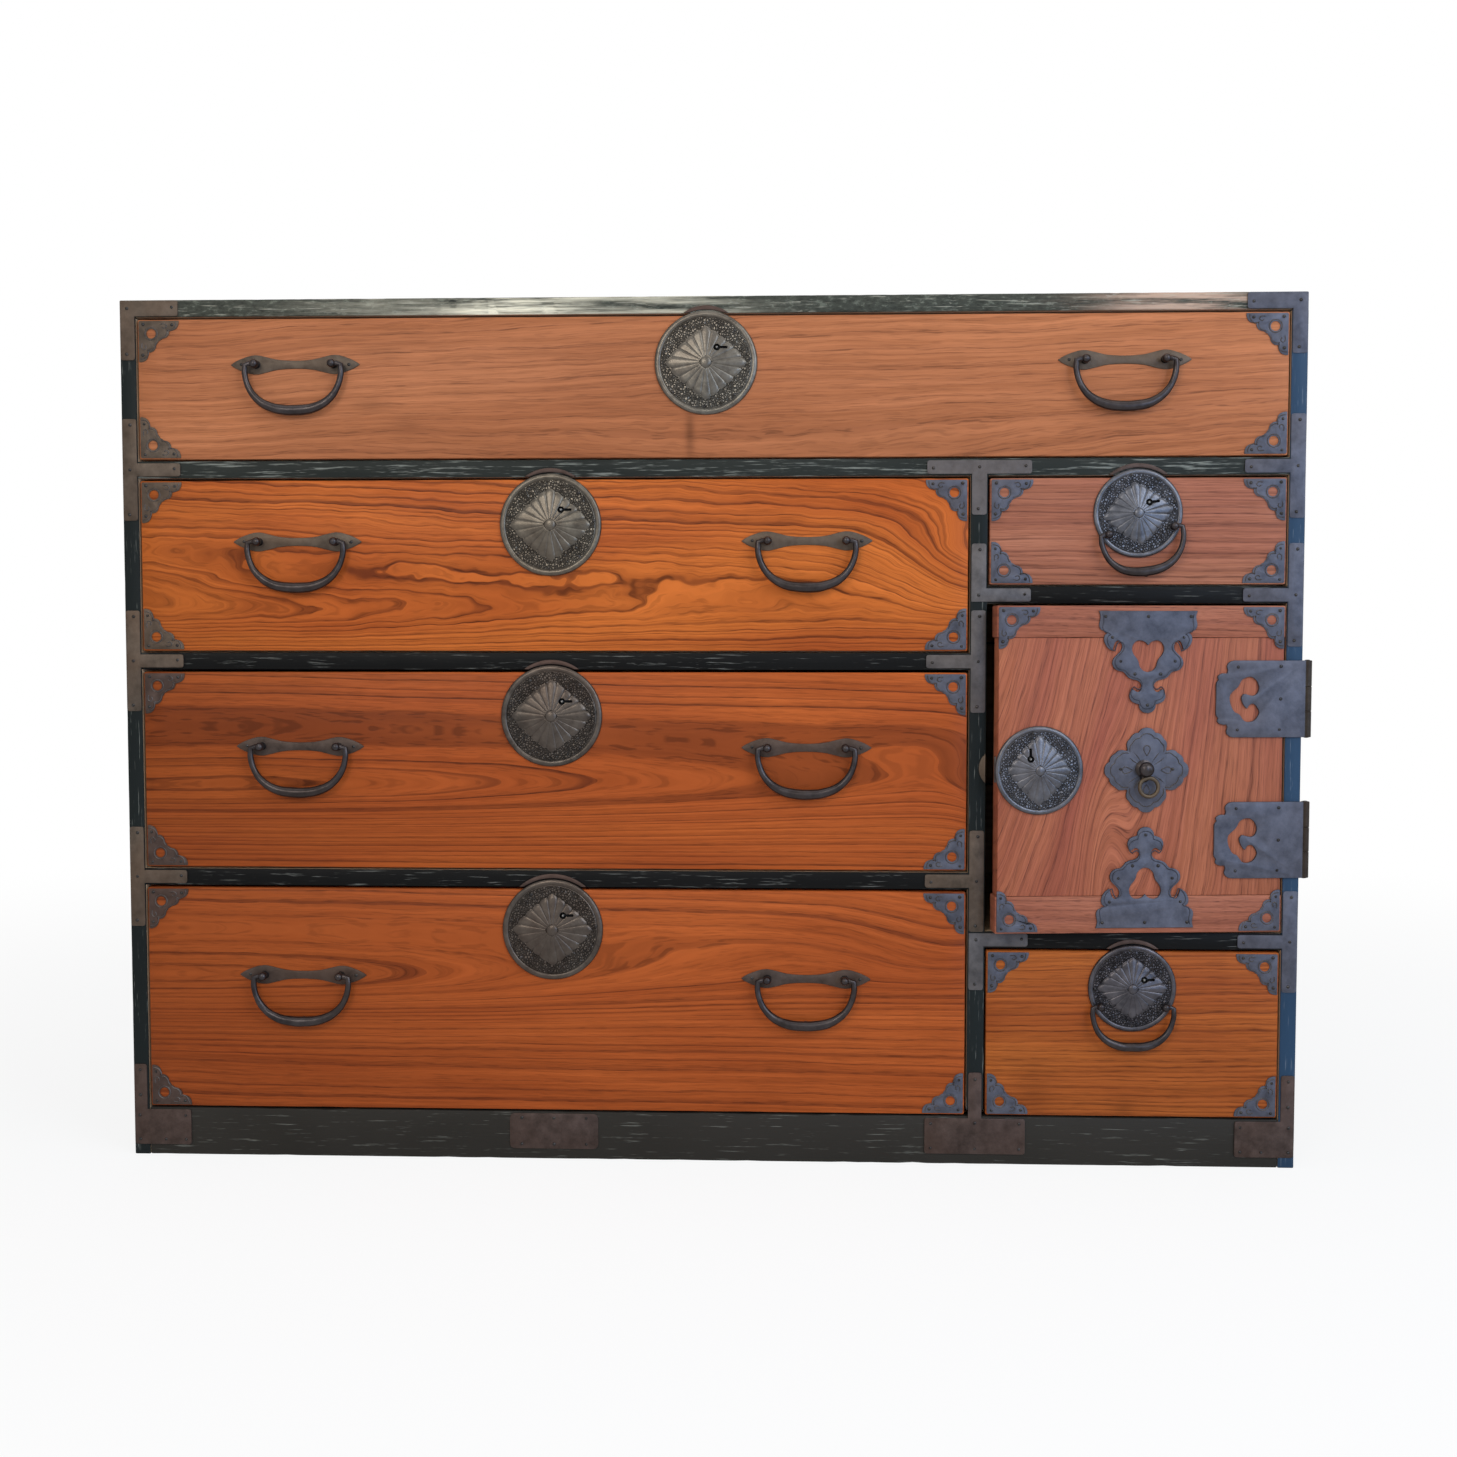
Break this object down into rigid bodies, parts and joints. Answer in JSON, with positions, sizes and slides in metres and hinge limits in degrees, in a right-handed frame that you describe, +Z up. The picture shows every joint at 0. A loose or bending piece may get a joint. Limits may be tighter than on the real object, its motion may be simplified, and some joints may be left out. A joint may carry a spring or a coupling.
{
  "type": "clothing tansu",
  "caption": "Low Japanese clothes chest: lacquered case, full-width top drawer over two columns of drawers, hinged door, domed lock plates, bail handles and iron straps.",
  "frame": {"origin": "centre of the bounding box on the floor, midway between the sides", "axes": "+X to the right seen from the front, +Y to the back, +Z up; the drawer fronts face -Y"},
  "size_m": [1.1897, 0.4721, 0.87],
  "materials": {
    "front_wood": "satin clear lacquer over figured hardwood",
    "drawer_box_wood": "bare softwood",
    "black_lacquer": "worn black lacquer on wood",
    "wrought_iron": "blackened wrought iron, satin"
  },
  "bodies": {
    "case": {"side_board_left": "black_lacquer", "side_board_right": "black_lacquer", "top_board": "black_lacquer", "back_board": "black_lacquer", "base_board": "black_lacquer", "top_shelf": "black_lacquer", "left_upper_shelf": "black_lacquer", "left_lower_shelf": "black_lacquer", "right_upper_shelf": "black_lacquer", "right_lower_shelf": "black_lacquer", "divider_board": "black_lacquer", "upper_hinge_case_leaf": "wrought_iron", "lower_hinge_case_leaf": "wrought_iron"},
    "top_drawer": {"top_drawer_front": "front_wood", "top_drawer_box": "drawer_box_wood", "top_drawer_lock_plate": "wrought_iron", "top_drawer_handle_left": "wrought_iron", "top_drawer_handle_right": "wrought_iron"},
    "top_drawer_lock_bolt": {"top_drawer_lock_bolt": "wrought_iron"},
    "top_drawer_bail_left": {"top_drawer_bail_left": "wrought_iron"},
    "top_drawer_bail_right": {"top_drawer_bail_right": "wrought_iron"},
    "upper_left_drawer": {"upper_left_drawer_front": "front_wood", "upper_left_drawer_box": "drawer_box_wood", "upper_left_drawer_lock_plate": "wrought_iron"},
    "upper_left_drawer_lock_bolt": {"upper_left_drawer_lock_bolt": "wrought_iron"},
    "upper_left_drawer_bail_left": {"upper_left_drawer_bail_left": "wrought_iron"},
    "upper_left_drawer_bail_right": {"upper_left_drawer_bail_right": "wrought_iron"},
    "middle_left_drawer": {"middle_left_drawer_front": "front_wood", "middle_left_drawer_box": "drawer_box_wood", "middle_left_drawer_lock_plate": "wrought_iron"},
    "middle_left_drawer_lock_bolt": {"middle_left_drawer_lock_bolt": "wrought_iron"},
    "middle_left_drawer_bail_left": {"middle_left_drawer_bail_left": "wrought_iron"},
    "middle_left_drawer_bail_right": {"middle_left_drawer_bail_right": "wrought_iron"},
    "bottom_left_drawer": {"bottom_left_drawer_front": "front_wood", "bottom_left_drawer_box": "drawer_box_wood", "bottom_left_drawer_lock_plate": "wrought_iron"},
    "bottom_left_drawer_lock_bolt": {"bottom_left_drawer_lock_bolt": "wrought_iron"},
    "bottom_left_drawer_bail_left": {"bottom_left_drawer_bail_left": "wrought_iron"},
    "bottom_left_drawer_bail_right": {"bottom_left_drawer_bail_right": "wrought_iron"},
    "upper_right_drawer": {"upper_right_drawer_front": "front_wood", "upper_right_drawer_box": "drawer_box_wood", "upper_right_drawer_lock_plate": "wrought_iron"},
    "upper_right_drawer_lock_bolt": {"upper_right_drawer_lock_bolt": "wrought_iron"},
    "upper_right_drawer_bail": {"upper_right_drawer_bail": "wrought_iron"},
    "bottom_right_drawer": {"bottom_right_drawer_front": "front_wood", "bottom_right_drawer_box": "drawer_box_wood", "bottom_right_drawer_lock_plate": "wrought_iron"},
    "bottom_right_drawer_lock_bolt": {"bottom_right_drawer_lock_bolt": "wrought_iron"},
    "bottom_right_drawer_bail": {"bottom_right_drawer_bail": "wrought_iron"},
    "door": {"door_board": "front_wood", "door_top_end": "front_wood", "door_bottom_end": "front_wood", "door_lock_plate": "wrought_iron", "door_rosette": "wrought_iron", "door_ornament_upper": "wrought_iron", "door_ornament_lower": "wrought_iron", "upper_hinge_door_leaf": "wrought_iron", "lower_hinge_door_leaf": "wrought_iron"},
    "door_lock_bolt": {"door_lock_bolt": "wrought_iron"},
    "door_ring": {"door_ring": "wrought_iron"}
  },
  "joints": [
    {"name": "top_drawer_slide", "type": "slide", "parent": "case", "child": "top_drawer", "axis": [0, -1, 0], "range_m": [0, 0.33]},
    {"name": "top_drawer_bolt_slide", "type": "slide", "parent": "top_drawer", "child": "top_drawer_lock_bolt", "axis": [0, 0, 1], "range_m": [0, 0.008]},
    {"name": "top_drawer_bail_left_hinge", "type": "hinge", "parent": "top_drawer", "child": "top_drawer_bail_left", "pos_m": [-0.412, -0.21395, 0.80466], "axis": [-1, 0, 0], "range_deg": [0, 160]},
    {"name": "top_drawer_bail_right_hinge", "type": "hinge", "parent": "top_drawer", "child": "top_drawer_bail_right", "pos_m": [0.412, -0.21395, 0.80466], "axis": [-1, 0, 0], "range_deg": [0, 160]},
    {"name": "upper_left_drawer_slide", "type": "slide", "parent": "case", "child": "upper_left_drawer", "axis": [0, -1, 0], "range_m": [0, 0.33]},
    {"name": "upper_left_drawer_bolt_slide", "type": "slide", "parent": "upper_left_drawer", "child": "upper_left_drawer_lock_bolt", "axis": [0, 0, 1], "range_m": [0, 0.008]},
    {"name": "upper_left_drawer_bail_left_hinge", "type": "hinge", "parent": "upper_left_drawer", "child": "upper_left_drawer_bail_left", "pos_m": [-0.412, -0.21395, 0.62791], "axis": [-1, 0, 0], "range_deg": [0, 160]},
    {"name": "upper_left_drawer_bail_right_hinge", "type": "hinge", "parent": "upper_left_drawer", "child": "upper_left_drawer_bail_right", "pos_m": [0.1005, -0.21395, 0.62791], "axis": [-1, 0, 0], "range_deg": [0, 160]},
    {"name": "middle_left_drawer_slide", "type": "slide", "parent": "case", "child": "middle_left_drawer", "axis": [0, -1, 0], "range_m": [0, 0.33]},
    {"name": "middle_left_drawer_bolt_slide", "type": "slide", "parent": "middle_left_drawer", "child": "middle_left_drawer_lock_bolt", "axis": [0, 0, 1], "range_m": [0, 0.008]},
    {"name": "middle_left_drawer_bail_left_hinge", "type": "hinge", "parent": "middle_left_drawer", "child": "middle_left_drawer_bail_left", "pos_m": [-0.412, -0.21395, 0.42165], "axis": [-1, 0, 0], "range_deg": [0, 160]},
    {"name": "middle_left_drawer_bail_right_hinge", "type": "hinge", "parent": "middle_left_drawer", "child": "middle_left_drawer_bail_right", "pos_m": [0.1005, -0.21395, 0.42165], "axis": [-1, 0, 0], "range_deg": [0, 160]},
    {"name": "bottom_left_drawer_slide", "type": "slide", "parent": "case", "child": "bottom_left_drawer", "axis": [0, -1, 0], "range_m": [0, 0.33]},
    {"name": "bottom_left_drawer_bolt_slide", "type": "slide", "parent": "bottom_left_drawer", "child": "bottom_left_drawer_lock_bolt", "axis": [0, 0, 1], "range_m": [0, 0.008]},
    {"name": "bottom_left_drawer_bail_left_hinge", "type": "hinge", "parent": "bottom_left_drawer", "child": "bottom_left_drawer_bail_left", "pos_m": [-0.412, -0.21395, 0.1879], "axis": [-1, 0, 0], "range_deg": [0, 160]},
    {"name": "bottom_left_drawer_bail_right_hinge", "type": "hinge", "parent": "bottom_left_drawer", "child": "bottom_left_drawer_bail_right", "pos_m": [0.1005, -0.21395, 0.1879], "axis": [-1, 0, 0], "range_deg": [0, 160]},
    {"name": "upper_right_drawer_slide", "type": "slide", "parent": "case", "child": "upper_right_drawer", "axis": [0, -1, 0], "range_m": [0, 0.33]},
    {"name": "upper_right_drawer_bolt_slide", "type": "slide", "parent": "upper_right_drawer", "child": "upper_right_drawer_lock_bolt", "axis": [0, 0, 1], "range_m": [0, 0.008]},
    {"name": "upper_right_drawer_bail_hinge", "type": "hinge", "parent": "upper_right_drawer", "child": "upper_right_drawer_bail", "pos_m": [0.42895, -0.21395, 0.63737], "axis": [-0.9919, 0, -0.1271], "range_deg": [0, 100]},
    {"name": "bottom_right_drawer_slide", "type": "slide", "parent": "case", "child": "bottom_right_drawer", "axis": [0, -1, 0], "range_m": [0, 0.33]},
    {"name": "bottom_right_drawer_bolt_slide", "type": "slide", "parent": "bottom_right_drawer", "child": "bottom_right_drawer_lock_bolt", "axis": [0, 0, 1], "range_m": [0, 0.008]},
    {"name": "bottom_right_drawer_bail_hinge", "type": "hinge", "parent": "bottom_right_drawer", "child": "bottom_right_drawer_bail", "pos_m": [0.42675, -0.21395, 0.16403], "axis": [-1, 0, 0], "range_deg": [0, 100]},
    {"name": "door_hinge", "type": "hinge", "parent": "case", "child": "door", "pos_m": [0.5952, -0.20175, 0.40154], "axis": [0, 0, 1], "range_deg": [-5, 170]},
    {"name": "door_bolt_slide", "type": "slide", "parent": "door", "child": "door_lock_bolt", "axis": [-0.9962, -0.0872, 0], "range_m": [0, 0.01]},
    {"name": "door_ring_hinge", "type": "hinge", "parent": "door", "child": "door_ring", "pos_m": [0.43636, -0.22719, 0.39254], "axis": [-0.9962, -0.0872, 0], "range_deg": [0, 100]}
  ]
}
